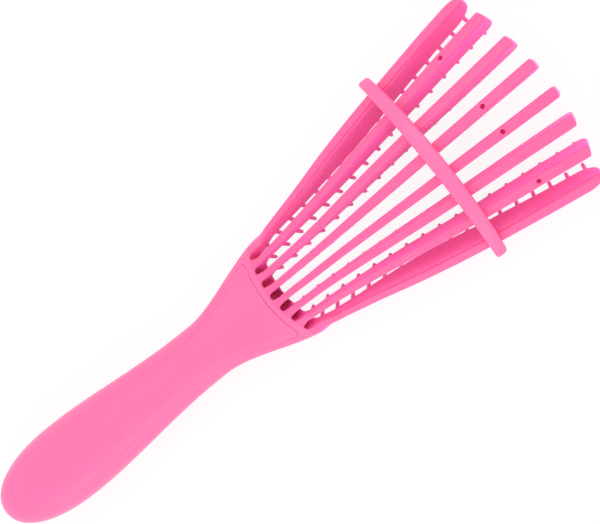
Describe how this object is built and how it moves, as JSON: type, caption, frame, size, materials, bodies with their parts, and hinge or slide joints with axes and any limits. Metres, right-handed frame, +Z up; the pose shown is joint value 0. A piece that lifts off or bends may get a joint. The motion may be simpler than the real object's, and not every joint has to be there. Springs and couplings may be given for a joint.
{
  "type": "detangling brush",
  "caption": "Detangling hairbrush: torpedo handle with an inlaid back cover, a concave fan of sprung comb arms with peg rows, and a bowed crossbar clipped behind them.",
  "frame": {"origin": "on the surface the brush lies on, below the middle of its bounding box", "axes": "+Z up, out of the back of the brush, which lies on its pegs; +Y along the brush from the butt of the handle to the tips of the arms; X across it"},
  "size_m": [0.0748, 0.2404, 0.0269],
  "materials": {
    "handle_plastic": "satin moulded pink plastic",
    "cover_plastic": "satin moulded pink plastic",
    "arm_plastic": "satin moulded pink plastic, slightly translucent",
    "bar_plastic": "satin moulded pink plastic"
  },
  "bodies": {
    "handle": {"handle_shell": "handle_plastic", "back_cover": "cover_plastic"},
    "outer_frame": {"arm_1": "arm_plastic", "arm_8": "arm_plastic", "crossbar": "bar_plastic"},
    "arm_2": {"arm_2": "arm_plastic"},
    "arm_3": {"arm_3": "arm_plastic"},
    "arm_4": {"arm_4": "arm_plastic"},
    "arm_5": {"arm_5": "arm_plastic"},
    "arm_6": {"arm_6": "arm_plastic"},
    "arm_7": {"arm_7": "arm_plastic"}
  },
  "joints": [
    {"name": "outer_frame_flex", "type": "hinge", "parent": "handle", "child": "outer_frame", "pos_m": [0, 0.00546, 0.00871], "axis": [1, 0, 0], "range_deg": [0, 5], "stiffness_Nm_per_rad": 24},
    {"name": "arm_2_flex", "type": "hinge", "parent": "handle", "child": "arm_2", "pos_m": [-0.01064, 0.00426, 0.01069], "axis": [-0.9168, -0.1142, -0.3826], "range_deg": [0, 6], "stiffness_Nm_per_rad": 4.5},
    {"name": "arm_3_flex", "type": "hinge", "parent": "handle", "child": "arm_3", "pos_m": [-0.00642, 0.0034, 0.012], "axis": [-0.9699, -0.07, -0.2333], "range_deg": [0, 6], "stiffness_Nm_per_rad": 4.5},
    {"name": "arm_4_flex", "type": "hinge", "parent": "handle", "child": "arm_4", "pos_m": [-0.00215, 0.00295, 0.01265], "axis": [-0.9966, -0.0236, -0.0784], "range_deg": [0, 6], "stiffness_Nm_per_rad": 4.5},
    {"name": "arm_5_flex", "type": "hinge", "parent": "handle", "child": "arm_5", "pos_m": [0.00215, 0.00295, 0.01265], "axis": [-0.9966, 0.0236, 0.0784], "range_deg": [0, 6], "stiffness_Nm_per_rad": 4.5},
    {"name": "arm_6_flex", "type": "hinge", "parent": "handle", "child": "arm_6", "pos_m": [0.00642, 0.0034, 0.012], "axis": [-0.9699, 0.07, 0.2333], "range_deg": [0, 6], "stiffness_Nm_per_rad": 4.5},
    {"name": "arm_7_flex", "type": "hinge", "parent": "handle", "child": "arm_7", "pos_m": [0.01064, 0.00426, 0.01069], "axis": [-0.9168, 0.1142, 0.3826], "range_deg": [0, 6], "stiffness_Nm_per_rad": 4.5}
  ]
}
